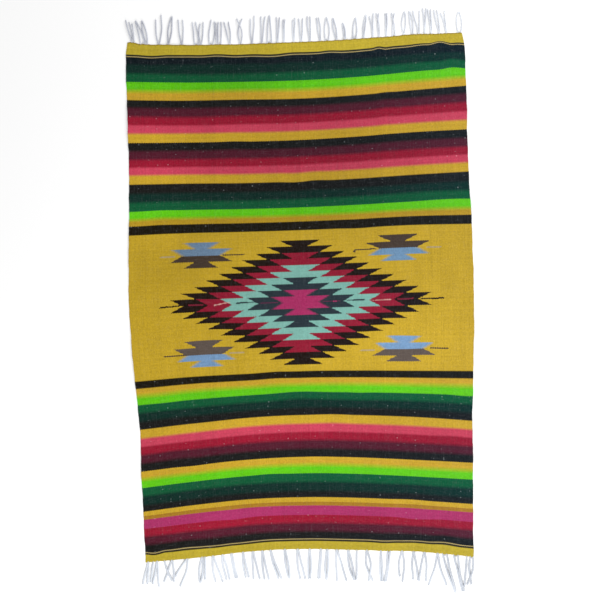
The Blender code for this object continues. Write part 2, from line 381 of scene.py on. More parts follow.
# Stepped figures, woven row by row outwards from a centre line. Half width is that of the last row at
# its outer edge, each row nearer to the centre line is wider by step, and a row narrows by slant to its
# inner edge. Side is 1 for the half above the centre line, -1 for the half below and 0 for both. The
# diamond is five figures, each over the one before it.
Figure = namedtuple("Figure", "u v rows half_width step slant row_height side yarn")
FIGURES = table(
    Figure,
    (-3, -4, 10, 75, 44, 48, 22.4, 0, "brown_black"),
    (-3, -4, 8, 67, 44, 42, 22.4, 0, "red"),
    (-3, -4, 6, 69, 44, 41, 22.4, 0, "mint"),
    (-3, -4, 4, 63, 44, 40, 22.4, 0, "slate"),
    (-3, -4, 2, 58, 44, 38, 22.4, 0, "magenta"),
    (-357, 173, 2, 64, 42, 41, 24.2, 1, "dull_blue"),
    (-359, 173, 2, 64, 47, 41, 21.5, -1, "brown"),
    (351, 177, 2, 74, 43, 51, 23.6, 1, "brown"),
    (353, 177, 2, 63, 44, 40, 22.0, -1, "blue"),
    (-359, -177, 2, 69, 40, 44, 23.2, 1, "pale_brown"),
    (-354, -177, 2, 58, 45, 36, 21.0, -1, "clear_blue"),
    (367, -178, 2, 60, 45, 38, 22.5, 1, "clear_blue"),
    (366, -178, 2, 67, 47, 43, 20.7, -1, "pale_brown"),
)

# Lines a few picks high, along the headings and the centre lines of the figures. A line rises by tilt from
# its start to its end.
Line = namedtuple("Line", "start end v picks tilt yarn")
LINES = table(
    Line,
    (-640, 640, 887.0, 2, 0, "header_gold"),
    (-640, 640, -855.8, 2, 0, "header_gold"),
    # Painted shade: a darker line of two picks along the upper hem
    (-640, 640, 930.2, 2, 0, "hem_shade"),
    (-510, -484, -4.5, 4, 2, "brown_black"),
    (-486, -428, -3, 3, 4, "brown_black"),
    (427, 478, -4, 3, 1, "brown_black"),
    (470, 512, -4, 4, 1, "brown_black"),
    (-408, -354, -2, 4, 1, "dark_red"),
    (345, 405, -3, 4, 1, "dark_red"),
    (-317, -286, -2, 3, 4, "pale_pink"),
    (-288, -257, 3, 2, 4, "pale_pink"),
    (259, 295, -5, 2, 1, "pale_pink"),
    (293, 324, -3.5, 3, 0, "pale_pink"),
    (-236, -195, 1.4, 4, 2, "slate"),
    (-197, -170, 2, 2, -1, "slate"),
    (165, 185, -2.5, 2, 0, "slate"),
    (183, 226, -2.5, 4, 0, "slate"),
    (-145, -84, -2, 2, 1, "dim_magenta"),
    (76, 140, -4, 2, 0, "dim_magenta"),
    (112, 128, -4, 3, 0, "magenta"),
    (-283, -204, 174, 3, 0, "brown"),
    (-506, -455, 173.5, 4, 0, "pale_blue"),
    (192, 272, 177, 3, 2, "brown"),
    (190, 197, 172, 5, 0, "brown"),
    (452, 506, 176, 4, 0, "pale_blue"),
    (-508, -423, -175, 3, 0, "brown"),
    (-270, -214, -175, 4, 0, "pale_blue"),
    (462, 530, -175.5, 3, 0, "brown"),
    (208, 262, -179.6, 4, 0, "pale_blue"),
)
# Yarns whose figures have soft sides, with the width over which they pass into the ground
SOFT_SIDES = {"dull_blue": 18.0, "blue": 18.0, "clear_blue": 18.0, "magenta": 11.0}
CRISP_SIDE = 0.5
# Steps by which a side strays from pick to pick and from warp to warp, as shares of the whole stray
PICK_SHIFT = 0.755
WARP_SHIFT = 0.57
SIDE_STRAY = 3.0  # millimetres from the least to the most that a crisp side strays
SOFT_SIDE_STRAY = 7.0  # the same for a soft side


def smooth(knots, values, place):
    """The value at a place on a smooth curve through the knots, which run upwards."""
    last = len(knots) - 1
    place = min(max(place, knots[0]), knots[-1])
    i = next(k for k in range(last) if place <= knots[k + 1])
    span = knots[i + 1] - knots[i]
    t = (place - knots[i]) / span

    def slope(k):
        low, high = max(k - 1, 0), min(k + 1, last)
        return (values[high] - values[low]) / (knots[high] - knots[low])

    rise = values[i + 1] - values[i]
    start, end = slope(i) * span, slope(i + 1) * span
    return values[i] + t * (start + t * (3 * rise - 2 * start - end + t * (start + end - 2 * rise)))


LEVELS = [section.level for section in reversed(SECTIONS)]
STATIONS = [k / 6 for k in range(7)]
UPPER_HEM, LOWER_HEM = LEVELS[-1], LEVELS[0]


def section_at(level):
    """The weft line at a level: its two ends and its rises."""
    rows = SECTIONS[::-1]
    left = smooth(LEVELS, [row.left for row in rows], level)
    right = smooth(LEVELS, [row.right for row in rows], level)
    rises = [smooth(LEVELS, [row.rises[k] for row in rows], level) for k in range(len(STATIONS))]
    return Section(level, left, right, rises)


def bump_share(x, y, spot):
    """From 1 at the middle of a spot to 0 at its rim."""
    away = math.hypot((x - spot.across) / spot.half_across, (y - spot.along) / spot.half_along)
    return math.cos(away * math.pi / 2) ** 2 if away < 1 else 0.0


def wavering(x, y):
    """How far a weft line strays along the warp at a place."""
    return sum(waver.shift * bump_share(x, y, waver) for waver in WAVERS)


def stand_off(x, y):
    """How far a broad rise lifts the cloth off the surface, in millimetres."""
    return max(rise.height * bump_share(x, y, rise) for rise in RISES)


CREASE_FADE = 90.0  # length over which a crease dies out at each end
CREASE_REACH = 4.0  # half widths from its ridge to where a crease has ended
CREASE_POWER = 1.5  # the higher, the rounder its ridge
RIPPLE = 0.55  # height of the cloth's fine unevenness
RIPPLE_SPACING = 75.0
RIPPLE_STRETCH = 0.6  # how many times as fast it changes along the warp as across
RIPPLE_LAYER = 40.0  # the level of the noise that it follows


def creasing(x, y):
    """How far creases and fine unevenness lift the cloth, in millimetres."""
    lift = RIPPLE * noise.noise(Vector((x, y * RIPPLE_STRETCH, RIPPLE_LAYER)) / RIPPLE_SPACING)
    for crease in CREASES:
        share = (y - crease.low) / (crease.high - crease.low)
        off = (x - crease.across - crease.lean * share) / crease.half_width
        if abs(off) < CREASE_REACH and 0 < share < 1:
            fade = min(1.0, (y - crease.low) / CREASE_FADE, (crease.high - y) / CREASE_FADE)
            lift += crease.height * math.exp(-abs(off) ** CREASE_POWER) * fade
    return lift


def underside(x, y):
    """The height of the cloth's underside above the surface, in millimetres."""
    return max(0.0, stand_off(x, y) + creasing(x, y))


def to_frame(x, y, height):
    """A point of the tables, in the frame."""
    return Vector((x - ORIGIN_SHIFT[0], y - ORIGIN_SHIFT[1], height)) * MM


def new_object(name, mesh, material):
    """An object of a mesh, with its material."""
    mesh.materials.append(material)
    mesh.shade_smooth()
    made = bpy.data.objects.new(name, mesh)
    bpy.context.scene.collection.objects.link(made)
    return made


class Board:
    """Adds nodes to a node tree and joins them. A value is a socket, or a constant."""

    def __init__(self, tree):
        self.tree = tree

    def feed(self, socket, value):
        if isinstance(value, bpy.types.NodeSocket):
            self.tree.links.new(value, socket)
        else:
            socket.default_value = value

    def add(self, kind, inputs=(), **settings):
        node = self.tree.nodes.new(kind)
        for name, value in settings.items():
            setattr(node, name, value)
        for name, value in dict(inputs).items():
            self.feed(node.inputs[name], value)
        return node

    def group(self, tree, inputs):
        return self.add("ShaderNodeGroup", inputs, node_tree=tree).outputs

    def math(self, operation, *values, clamp=False):
        node = self.add("ShaderNodeMath", dict(enumerate(values)), operation=operation, use_clamp=clamp)
        return node.outputs[0]

    def minus(self, value, less):
        return self.math("SUBTRACT", value, less)

    def times(self, value, factor):
        return self.math("MULTIPLY", value, factor)

    def times_plus(self, value, factor, extra, clamp=False):
        return self.math("MULTIPLY_ADD", value, factor, extra, clamp=clamp)

    def mix(self, share, first, second):
        inputs = {0: share, 6: first, 7: second}
        return self.add("ShaderNodeMix", inputs, data_type="RGBA", clamp_factor=True).outputs[2]

    def scale(self, colour, factor):
        inputs = {0: colour, "Scale": factor}
        return self.add("ShaderNodeVectorMath", inputs, operation="SCALE").outputs[0]

    def tint(self, colour, extra, share):
        inputs = {0: extra, 1: share, 2: colour}
        return self.add("ShaderNodeVectorMath", inputs, operation="MULTIPLY_ADD").outputs[0]

    def vector(self, x, y):
        return self.add("ShaderNodeCombineXYZ", {"X": x, "Y": y, "Z": 0.0}).outputs[0]

    def noise(self, place, scale, detail=2.0, dimensions="2D"):
        inputs = {"Vector": place, "Scale": scale, "Detail": detail}
        return self.add("ShaderNodeTexNoise", inputs, noise_dimensions=dimensions).outputs["Fac"]

    def random(self, number):
        return self.add("ShaderNodeTexWhiteNoise", {"W": number}, noise_dimensions="1D").outputs["Value"]

    def roughen(self, shader, height, strength, distance):
        inputs = {"Height": height, "Strength": strength, "Distance": distance * MM}
        self.feed(shader.inputs["Normal"], self.add("ShaderNodeBump", inputs).outputs["Normal"])


def numbers(*names):
    """The kinds of sockets of these names, which hold numbers."""
    return dict.fromkeys(names, "NodeSocketFloat")


def colours(*names):
    """The kinds of sockets of these names, which hold colours."""
    return dict.fromkeys(names, "NodeSocketColor")


def new_group(name, inputs, outputs):
    """An empty node group: its tree, its board, and its inputs and outputs by name."""
    tree = bpy.data.node_groups.new(name, "ShaderNodeTree")
    for socket, kind in inputs.items():
        tree.interface.new_socket(socket, in_out="INPUT", socket_type=kind)
    for socket, kind in outputs.items():
        tree.interface.new_socket(socket, in_out="OUTPUT", socket_type=kind)
    given = tree.nodes.new("NodeGroupInput").outputs
    result = tree.nodes.new("NodeGroupOutput").inputs
    return tree, Board(tree), given, result


# Powers that make a bead of weft fuller than a plain arch, across its warp and along it
FULLNESS_ACROSS = 0.55
FULLNESS_ALONG = 0.7


def weft_beads_group():
    """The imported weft: beads of yarn, each over one warp, set half a bead apart from warp to warp."""
    tree, board, given, result = new_group(
        "weft_beads",
        numbers("U", "V", "Warp Pitch", "Bead Height"),
        numbers("Cell U", "Cell V", "Warp", "Pick", "Height"),
    )
    warps = board.math("DIVIDE", given["U"], given["Warp Pitch"])
    warp = board.math("FLOOR", warps)
    stagger = board.times(board.math("FLOORED_MODULO", warp, 2.0), 0.5)
    beads = board.math("ADD", board.math("DIVIDE", given["V"], given["Bead Height"]), stagger)
    bead = board.math("FLOOR", beads)
    centre = board.minus(board.math("ADD", bead, 0.5), stagger)
    across = board.math("SINE", board.times(board.minus(warps, warp), math.pi))
    along = board.math("SINE", board.times(board.minus(beads, bead), math.pi))
    round_across = board.math("POWER", across, FULLNESS_ACROSS)
    round_along = board.math("POWER", along, FULLNESS_ALONG)
    board.feed(result["Cell U"], board.times(board.math("ADD", warp, 0.5), given["Warp Pitch"]))
    board.feed(result["Cell V"], board.times(centre, given["Bead Height"]))
    board.feed(result["Warp"], warp)
    board.feed(result["Pick"], board.times(centre, 2.0))
    board.feed(result["Height"], board.times(round_across, round_along))
    return tree


def stepped_figure_group():
    """A mask of a figure woven in rows, with pointed steps at its sides."""
    tree, board, given, result = new_group(
        "stepped_figure",
        numbers("U", "V", "Rows", "Half Width", "Step", "Slant", "Row Height", "Side", "Softness"),
        numbers("Mask"),
    )
    away = board.math("DIVIDE", board.math("ABSOLUTE", given["V"]), given["Row Height"])
    row = board.math("FLOOR", away)
    rows_left = board.minus(board.minus(given["Rows"], 1.0), row)
    widest = board.times_plus(rows_left, given["Step"], given["Half Width"])
    inwards = board.minus(1.0, board.minus(away, row))
    half = board.minus(widest, board.times(inwards, given["Slant"]))
    inside = board.minus(half, board.math("ABSOLUTE", given["U"]))
    in_width = board.math("ADD", board.math("DIVIDE", inside, given["Softness"]), 0.5, clamp=True)
    in_rows = board.math("GREATER_THAN", rows_left, -0.5)
    on_side = board.math("GREATER_THAN", board.times(given["V"], given["Side"]), -0.001)
    board.feed(result["Mask"], board.times(board.times(in_width, in_rows), on_side))
    return tree


def woven_line_group():
    """A mask of a short line of a few picks."""
    tree, board, given, result = new_group(
        "woven_line",
        numbers("U", "V", "Start", "End", "Level", "Half Width", "Tilt"),
        numbers("Mask"),
    )
    run = board.minus(given["End"], given["Start"])
    share = board.math("DIVIDE", board.minus(given["U"], given["Start"]), run)
    middle = board.minus(share, 0.5)
    level = board.times_plus(middle, given["Tilt"], given["Level"])
    off = board.math("ABSOLUTE", board.minus(given["V"], level))
    in_width = board.math("LESS_THAN", off, given["Half Width"])
    in_run = board.math("LESS_THAN", board.math("ABSOLUTE", middle), 0.5)
    board.feed(result["Mask"], board.times(in_width, in_run))
    return tree


def light_patch_group():
    """A mask of a rounded patch, from 1 at its middle to 0 at its rim."""
    tree, board, given, result = new_group(
        "light_patch",
        numbers("U", "V", "Across", "Along", "Half Across", "Half Along"),
        numbers("Mask"),
    )
    across = board.math("DIVIDE", board.minus(given["U"], given["Across"]), given["Half Across"])
    along = board.math("DIVIDE", board.minus(given["V"], given["Along"]), given["Half Along"])
    away = board.math("ADD", board.times(across, across), board.times(along, along))
    mask = board.math("SUBTRACT", 1.0, away, clamp=True)
    board.feed(result["Mask"], board.times(mask, mask))
    return tree


# Pale fibres carded into the yarn lie in flecks, down along the warps and along the picks. Across and
# along are the flecks to a millimetre.
Grain = namedtuple("Grain", "across along share")
GRAINS = table(
    Grain,
    (0.17, 0.17, 0.45),
    (0.24, 0.02, 0.40),
    (0.028, 0.27, 0.40),
)
GRAIN_CONTRAST = 6.0
GRAIN_LEVEL = 0.0095  # taken off their sum, so that the yarns keep their tones
HEATHER = (0.160, 0.168, 0.182)  # the colour that they add

# How the yarn's tone varies over the cloth: how fast across, how many times as fast along the warp, how
# finely, and by what share.
Tone = namedtuple("Tone", "scale stretch detail share")
TONES = table(
    Tone,
    (1.1, 2.6, 3.0, 0.20),  # single fibres, which roughen the surface too
    (0.011, 1.0, 3.0, 0.16),  # clouds
    (0.16, 0.02, 2.0, 0.18),  # streaks down the warps
    (0.016, 7.0, 3.0, 0.16),  # one bobbin's yarn to the next one's
    (0.15, 1.0, 3.0, 0.34),  # mottle
)
PICK_TONE = 0.10  # share by which picks differ
WARP_TONE = 0.05  # share by which warps differ
SPIN_TONE = 0.42  # share by which a pick changes along its length
SPIN_SCALE = (0.09, 0.83)  # for each millimetre along a pick, and from pick to pick
BEAD_SHADE = 0.30  # painted shade: share by which a bead's crown is paler than its foot, where the beads shade one another


def yarn_tone_group():
    """Spun yarn: tones that change from pick to pick, along each pick and from warp to warp, with painted
    shade at the foot of each bead.
    """
    tree, board, given, result = new_group(
        "yarn_tone",
        colours("Colour") | numbers("U", "V", "Warp", "Pick", "Height"),
        colours("Colour") | numbers("Fibre"),
    )
    u, v, pick = given["U"], given["V"], given["Pick"]
    on_pick = board.vector(board.times(u, SPIN_SCALE[0]), board.times(pick, SPIN_SCALE[1]))
    varied = []
    for tone in TONES:
        place = board.vector(u, board.times(v, tone.stretch))
        varied.append(board.noise(place, tone.scale, tone.detail))
    shares = [
        (board.random(pick), PICK_TONE),
        (board.random(given["Warp"]), WARP_TONE),
        (board.noise(on_pick, 1.0), SPIN_TONE),
        *zip(varied, [tone.share for tone in TONES]),
        # Painted shade between the beads
        (given["Height"], BEAD_SHADE),
    ]
    level = 1.0 - sum(share / 2 for _, share in shares)
    for value, share in shares:
        level = board.times_plus(value, share, level)
    heather = -GRAIN_LEVEL
    for grain in GRAINS:
        place = board.vector(board.times(u, grain.across), board.times(v, grain.along))
        fibres = board.math("POWER", board.noise(place, 1.0, 3.0), GRAIN_CONTRAST)
        heather = board.times_plus(fibres, grain.share, heather)
    board.feed(result["Colour"], board.tint(board.scale(given["Colour"], level), HEATHER, heather))
    board.feed(result["Fibre"], varied[0])
    return tree


def linear(rgb):
    """A shader colour from sRGB values of 0 to 255."""
    shares = [value / 255 for value in rgb]
    return tuple(s / 12.92 if s <= 0.04045 else ((s + 0.055) / 1.055) ** 2.4 for s in shares)


def yarn(name):
    """A yarn's colour, with 1 as alpha where it is slubbed."""
    return (*linear(YARNS[name]), 1.0 if name in SLUBBED else 0.0)


def blend_length(lower, upper):
    """The length over which one stripe of yarn passes into the next."""
    if {lower, upper} <= DARK_YARNS:
        return DARK_BLEND
    return BLENDS.get(frozenset((lower, upper)), CRISP_BLEND)


def stripe_ramp(board, level, stripes, bottom):
    """The stripes of one band by level, as colour and as 1 where the yarn is slubbed."""
    height = stripes[0].top - bottom
    share = board.math("DIVIDE", board.minus(level, bottom), height)
    node = board.add("ShaderNodeValToRGB", {"Fac": share})
    ramp = node.color_ramp
    rising = stripes[::-1]
    stops = [(bottom, rising[0].yarn)]
    for lower, upper in zip(rising, rising[1:]):
        half = blend_length(lower.yarn, upper.yarn) / 2
        stops += [(lower.top - half, lower.yarn), (lower.top + half, upper.yarn)]
    stops.append((stripes[0].top, rising[-1].yarn))
    for k, (edge, name) in enumerate(stops):
        place = (edge - bottom) / height
        stop = ramp.elements[k] if k < 2 else ramp.elements.new(place)
        stop.position = place
        stop.color = yarn(name)
    return node.outputs["Color"], node.outputs["Alpha"]


def new_material(name, roughness, sheen, sheen_roughness):
    """A material with its board and its shader."""
    material = bpy.data.materials.new(name)
    material.use_nodes = True
    shader = material.node_tree.nodes["Principled BSDF"]
    shader.inputs["Roughness"].default_value = roughness
    shader.inputs["Specular IOR Level"].default_value = 0.06
    shader.inputs["Sheen Weight"].default_value = sheen
    shader.inputs["Sheen Roughness"].default_value = sheen_roughness
    return material, Board(material.node_tree), shader


def weave_figures(board, colour, cell_u, cell_v, stray):
    """The colour of the cloth with its figures and fine lines over the ground."""
    edge_u = board.times_plus(stray, SIDE_STRAY, cell_u)
    soft_u = board.times_plus(stray, SOFT_SIDE_STRAY, cell_u)
    figure_group, line_group = stepped_figure_group(), woven_line_group()
    for figure in FIGURES:
        place = soft_u if figure.yarn in SOFT_SIDES else edge_u
        inputs = {
            "U": board.minus(place, figure.u),
            "V": board.minus(cell_v, figure.v),
            "Rows": figure.rows,
            "Half Width": figure.half_width,
            "Step": figure.step,
            "Slant": figure.slant,
            "Row Height": figure.row_height,
            "Side": figure.side,
            "Softness": SOFT_SIDES.get(figure.yarn, CRISP_SIDE),
        }
        colour = board.mix(board.group(figure_group, inputs)["Mask"], colour, yarn(figure.yarn))
    for line in LINES:
        inputs = {
            "U": edge_u,
            "V": cell_v,
            "Start": line.start,
            "End": line.end,
            "Level": line.v,
            "Half Width": line.picks * BEAD_HEIGHT / 4,
            "Tilt": line.tilt,
        }
        colour = board.mix(board.group(line_group, inputs)["Mask"], colour, yarn(line.yarn))
    return colour


SLUB_CELL = 34.0  # millimetres of cloth to one slub
SLUB_STRETCH = 1.3  # how many times as close slubs lie along the warp
SLUB_REACH = 0.085  # share of a cell, from the middle of a slub to its edge
SLUB_EDGE = 1.5  # how many times as steep as a plain slope the edge of a slub is
SLUB_RARITY = 4.0  # the higher, the fewer of them are pale
SLUB_PALENESS = (0.15, 0.165, 0.17)


def spin_slubs(board, colour, cell_u, cell_v, slubbed):
    """The colour of the cloth with pale slubs where the yarn is slubbed."""
    place = board.vector(cell_u, board.times(cell_v, SLUB_STRETCH))
    inputs = {"Vector": place, "Scale": 1 / SLUB_CELL}
    slubs = board.add("ShaderNodeTexVoronoi", inputs, voronoi_dimensions="2D").outputs
    inwards = board.minus(SLUB_REACH, slubs["Distance"])
    near = board.math("MULTIPLY", inwards, SLUB_EDGE / SLUB_REACH, clamp=True)
    chance = board.add("ShaderNodeSeparateColor", {"Color": slubs["Color"]}).outputs["Red"]
    pale = board.math("POWER", chance, SLUB_RARITY)
    return board.tint(colour, SLUB_PALENESS, board.times(board.times(near, pale), slubbed))


PAINTED_SHEEN = (0.001, 0.005, 0.010)  # painted sheen: the cool pale haze added to the colour where light catches the cloth most, towards its right side
PAINTED_SHEEN_MIDDLE = 0.4  # share of painted sheen at the middle: less to the left, and more to the right


def fade(board, colour, u, v):
    """The colour of the cloth with painted sheen towards its right side and its patches of painted light
    and shade.
    """
    sheen_share = board.times_plus(u, 1 / CLOTH_WIDTH, PAINTED_SHEEN_MIDDLE, clamp=True)
    colour = board.tint(colour, PAINTED_SHEEN, board.times(sheen_share, sheen_share))
    # Patches of painted light and shade scale the colour
    level, patch_group = 1.0, light_patch_group()
    for patch in LIGHT_PATCHES:
        inputs = {
            "U": u,
            "V": v,
            "Across": patch.u,
            "Along": patch.v,
            "Half Across": patch.half_u,
            "Half Along": patch.half_v,
        }
        level = board.times_plus(board.group(patch_group, inputs)["Mask"], patch.share, level)
    return board.scale(colour, level)


def web_material():
    """Packed weft of soft spun yarn, with the stripes and the figures woven in."""
    material, board, shader = new_material("packed_weft", 0.93, 0.03, 0.5)
    uv = board.add("ShaderNodeUVMap", uv_map="Weave").outputs["UV"]
    split = board.add("ShaderNodeSeparateXYZ", {"Vector": board.scale(uv, 1 / MM)})
    u, v = split.outputs["X"], split.outputs["Y"]
    inputs = {"U": u, "V": v, "Warp Pitch": WARP_PITCH, "Bead Height": BEAD_HEIGHT}
    beads = board.group(weft_beads_group(), inputs)
    cell_u, cell_v = beads["Cell U"], beads["Cell V"]
    warp, pick, height = beads["Warp"], beads["Pick"], beads["Height"]

    colour, slubbed = yarn("field"), 0.0
    for stripes, bottom in zip(STRIPES, BAND_BOTTOMS):
        band, band_slubbed = stripe_ramp(board, cell_v, stripes, bottom)
        below = board.math("LESS_THAN", cell_v, stripes[0].top)
        above = board.math("GREATER_THAN", cell_v, bottom)
        inside = board.times(below, above)
        colour = board.mix(inside, colour, band)
        slubbed = board.times_plus(inside, band_slubbed, slubbed)

    step = board.times_plus(warp, WARP_SHIFT, board.times(pick, PICK_SHIFT))
    stray = board.minus(board.math("FRACT", step), 0.5)
    colour = weave_figures(board, colour, cell_u, cell_v, stray)
    colour = spin_slubs(board, colour, cell_u, cell_v, slubbed)
    # Painted sheen towards the right side, and patches of painted light and shade
    colour = fade(board, colour, u, v)
    inputs = {"Colour": colour, "U": u, "V": v, "Warp": warp, "Pick": pick, "Height": height}
    tone = board.group(yarn_tone_group(), inputs)
    board.feed(shader.inputs["Base Color"], tone["Colour"])
    board.roughen(shader, board.times_plus(tone["Fibre"], 0.35, height), 0.7, 0.45)
    return material


def fringe_material(name, pale, grey, shade_drift):
    """Warp yarn: two-ply cotton of a pale tone and a grey one, which is painted shade, in patches, with
    fine fibres.

    Shade drift is the share of painted grey shade that it gains over a metre to the right.
    """
    material, board, shader = new_material(name, 0.88, 0.10, 0.4)
    place = board.add("ShaderNodeTexCoord").outputs["Object"]
    stretched = board.add("ShaderNodeMapping", {"Vector": place, "Scale": (2600, 900, 2600)})
    fibre = board.noise(stretched.outputs[0], 1.0, 3.0, "3D")
    patches = board.noise(place, 9.0, 2.0, "3D")
    shade = board.times_plus(fibre, 0.5, patches)
    across = board.add("ShaderNodeSeparateXYZ", {"Vector": place}).outputs["X"]
    # Painted shade: the grey share drifts across the cloth
    level = board.times_plus(across, shade_drift, -0.7)
    share = board.times_plus(shade, 1.6, level, clamp=True)
    board.feed(shader.inputs["Base Color"], board.mix(share, (*linear(pale), 1), (*linear(grey), 1)))
    board.roughen(shader, fibre, 0.5, 0.2)
    return material


# The cloth's mesh: even steps inside, and steps from the edge that round it off
INNER_COLUMNS = 272
INNER_ROWS = 140
EDGE_STEPS = (0.0, 0.4, 1.1, 2.2, 4.4)
EDGE_RADIUS = 2.0
EDGE_BLUNTNESS = 0.3  # least share of its thickness that the cloth has, at its very edge


def edge_to_edge(length, count):
    """Shares of a length, at even steps with finer ones at both ends."""
    edge = [step / length for step in EDGE_STEPS]
    inner = [edge[-1] + (1 - 2 * edge[-1]) * k / count for k in range(1, count)]
    return edge + inner + [1 - share for share in reversed(edge)]


def rounding(distance):
    """The share of its thickness that the cloth has at a distance from its edge."""
    inward = min(distance / EDGE_RADIUS, 1.0)
    return max(EDGE_BLUNTNESS, math.sqrt(inward * (2 - inward)))


# Waves in which the selvedges bulge where the wefts turn: how far out, the length of one radian along the
# warp, and the shift in radians, forwards at the right selvedge and backwards at the left one.
Bulge = namedtuple("Bulge", "outward length shift")
BULGES = table(
    Bulge,
    (0.4, 7.3, 1.0),
    (0.5, 17.0, 2.1),
    (0.5, 31.0, -1.0),
)
BULGE_DEPTH = 30.0  # from the selvedge to where they have died out


def selvedge_bulge(v, side):
    """How far the selvedge bulges outwards at a level."""
    return sum(bulge.outward * math.sin(v / bulge.length + bulge.shift * side) for bulge in BULGES)


HEM_PULL = 1.6  # how far a knot draws the hem outwards
HEM_PULL_WIDTH = 8.0
HEM_PULL_DEPTH = 14.0


def hem_pull(x, locks):
    """How far the knots draw the hem outwards at a place across it."""
    return HEM_PULL * max(math.exp(-(((x - lock.root) / HEM_PULL_WIDTH) ** 2)) for lock in locks)


def make_web():
    """The woven cloth, a closed shell from selvedge to selvedge and hem to hem."""
    top, bottom = UPPER_HEM + HEM_TURN, LOWER_HEM - HEM_TURN
    length = top - bottom
    columns = edge_to_edge(CLOTH_WIDTH, INNER_COLUMNS)
    rows = edge_to_edge(length, INNER_ROWS)
    bm = bmesh.new()
    bmesh.ops.create_grid(bm, x_segments=len(columns) - 1, y_segments=len(rows) - 1, size=0.5)
    copied = bmesh.ops.extrude_face_region(bm, geom=bm.faces[:])["geom"]
    upper = [part for part in copied if isinstance(part, bmesh.types.BMVert)]
    bmesh.ops.translate(bm, verts=upper, vec=(0, 0, 1))
    uv_layer = bm.loops.layers.uv.new("Weave")
    lines, lows, woven = {}, {}, {}
    for vert in bm.verts:
        column = round((vert.co.x + 0.5) * (len(columns) - 1))
        row = round((vert.co.y + 0.5) * (len(rows) - 1))
        across, v = columns[column], bottom + length * rows[row]
        if row not in lines:
            lines[row] = section_at(v)
        woven[vert] = Vector(((across - 0.5) * CLOTH_WIDTH, v)) * MM
        if (column, row) not in lows:
            lows[column, row] = low_point(lines[row], across, v, top, bottom)
        x, y, low, wall = lows[column, row]
        vert.co = to_frame(x, y, low + wall * vert.co.z)
    for face in bm.faces:
        for loop in face.loops:
            loop[uv_layer].uv = woven[loop.vert]
    bmesh.ops.recalc_face_normals(bm, faces=bm.faces[:])
    mesh = bpy.data.meshes.new("web_woven")
    bm.to_mesh(mesh)
    bm.free()
    return new_object("web_woven", mesh, web_material())


def low_point(section, across, v, top, bottom):
    """A place on a weft line: x, y, the height of the underside there, and the thickness."""
    width = section.right - section.left
    x = section.left + across * width
    from_selvedge = min(across, 1 - across) * width
    side = -1 if across < 0.5 else 1
    x += side * selvedge_bulge(v, side) * max(0.0, 1 - from_selvedge / BULGE_DEPTH)
    y = section.level + smooth(STATIONS, section.rises, across)
    y += max(0.0, v - UPPER_HEM) + min(0.0, v - LOWER_HEM)
    from_hem = min(top - v, v - bottom)
    locks, outward = (TOP_LOCKS, 1) if v > 0 else (BOTTOM_LOCKS, -1)
    y += outward * (hem_pull(x, locks) - HEM_PULL / 2) * max(0.0, 1 - from_hem / HEM_PULL_DEPTH)
    y += wavering(x, y)
    wall = WALL * rounding(from_selvedge) * rounding(from_hem)
    low = underside(x, y) + (WALL - wall) / 2
    return x, y, low, wall


# A hem and the yarn of its fringe, in millimetres. Outward is 1 or -1 along the warp, and ply offset is
# from the middle of a strand to the middle of each ply.
Hem = namedtuple("Hem", "level outward section ply_radius ply_offset")
TWIST_LENGTH = 9.5  # along a strand, for one full turn of its plies
POINT_SPACING = 1.4
STRAND_SAMPLES = 26
STRAND_SWAY = 0.9  # how far a strand sways off its course by its tip
STRAND_CLEARANCE = 0.15  # under a strand that lies free
PLY_CLEARANCE = 0.1  # under a ply
SETTLING = 2.5  # how many times its way down to the surface goes into a strand's length
LOOP_TIPS = 8  # widest that the tips of an uncut loop are apart
LOOP_BOW = 3  # least by which it is wider half way
LOOP_END = 10  # power that bends its end: the higher, the blunter
FRAY_LENGTH = 7.0
FRAY_SPREAD = 0.9  # share by which the plies part at a frayed tip
FRAY_THINNING = 0.55  # share by which they get thinner there
FRAY_FIBRES = 3
FRAY_WIDTHS = (0.35, 0.28, 0.12)  # of a loose fibre at its points, as shares of a ply
ROOT_INSET = 1.4  # how far inside the hem a strand starts
ROOT_LENGTH = 9.0  # over which a strand swells to its full thickness
ROOT_OFFSET = 0.1  # share of its offset that a ply has where the strand starts
ROOT_WIDTH = 0.36  # share of its width that a ply has where the strand starts
HEADER_REACH = 4.3  # from the hem line to where the reach of a strand is measured
KNOT_RADIUS = 1.7
KNOT_YARN = 0.9
KNOT_POINTS = 22
KNOT_FLATNESS = 0.75  # share of its radius that a knot stands out past its strands across the hem
KNOT_END_WIDTH = 0.75  # share of its width that the yarn of a knot has at both ends
KNOT_REACH = 3.0  # most that a knot is widened by its strands
KNOT_TURNS = 1.9
KNOT_GAP = 4.6  # from the hem line to the first turn of a knot
KNOT_DEPTH = 3.0
CLOSE_FOOT = 9.0  # locks with a foot up to this one are drawn together by their knot
DRAWN_FOOT = 0.45  # the share of the foot that the knot leaves


def knotted_foot(lock):
    """The width between the strands of a lock where its knot holds them."""
    return lock.foot * (DRAWN_FOOT if lock.foot <= CLOSE_FOOT else 1.0)


def strands_of(lock):
    """The strands of a lock, as places across the hem at the root, the middle and the tip."""
    middle = lock.root + LEAN_AT_MIDDLE * lock.lean
    tip = lock.root + lock.lean
    if lock.foot == 0:
        return [Strand(lock.root, middle, tip, lock.reach, STRAND_LIFT)]
    crossing = STRAND_LIFT if lock.tips < 0 else 0.0
    foot = knotted_foot(lock)
    left = Strand(lock.root - foot / 2, middle - lock.bow / 2, tip - lock.tips / 2, lock.reach, 0.0)
    right = Strand(
        lock.root + foot / 2,
        middle + lock.bow / 2,
        tip + lock.tips / 2,
        lock.reach + lock.step,
        crossing,
    )
    return [left, right]


def is_loop(lock):
    """Whether the strands of a lock are one uncut loop of warp."""
    return 0 < lock.tips <= LOOP_TIPS and lock.bow >= lock.tips + LOOP_BOW


def hem_point(x, hem):
    """Where the warp at a place across the hem leaves the cloth, with its height."""
    across = (x - hem.section.left) / (hem.section.right - hem.section.left)
    y = hem.level + smooth(STATIONS, hem.section.rises, across)
    return y + wavering(x, y), underside(x, y) + WALL / 2


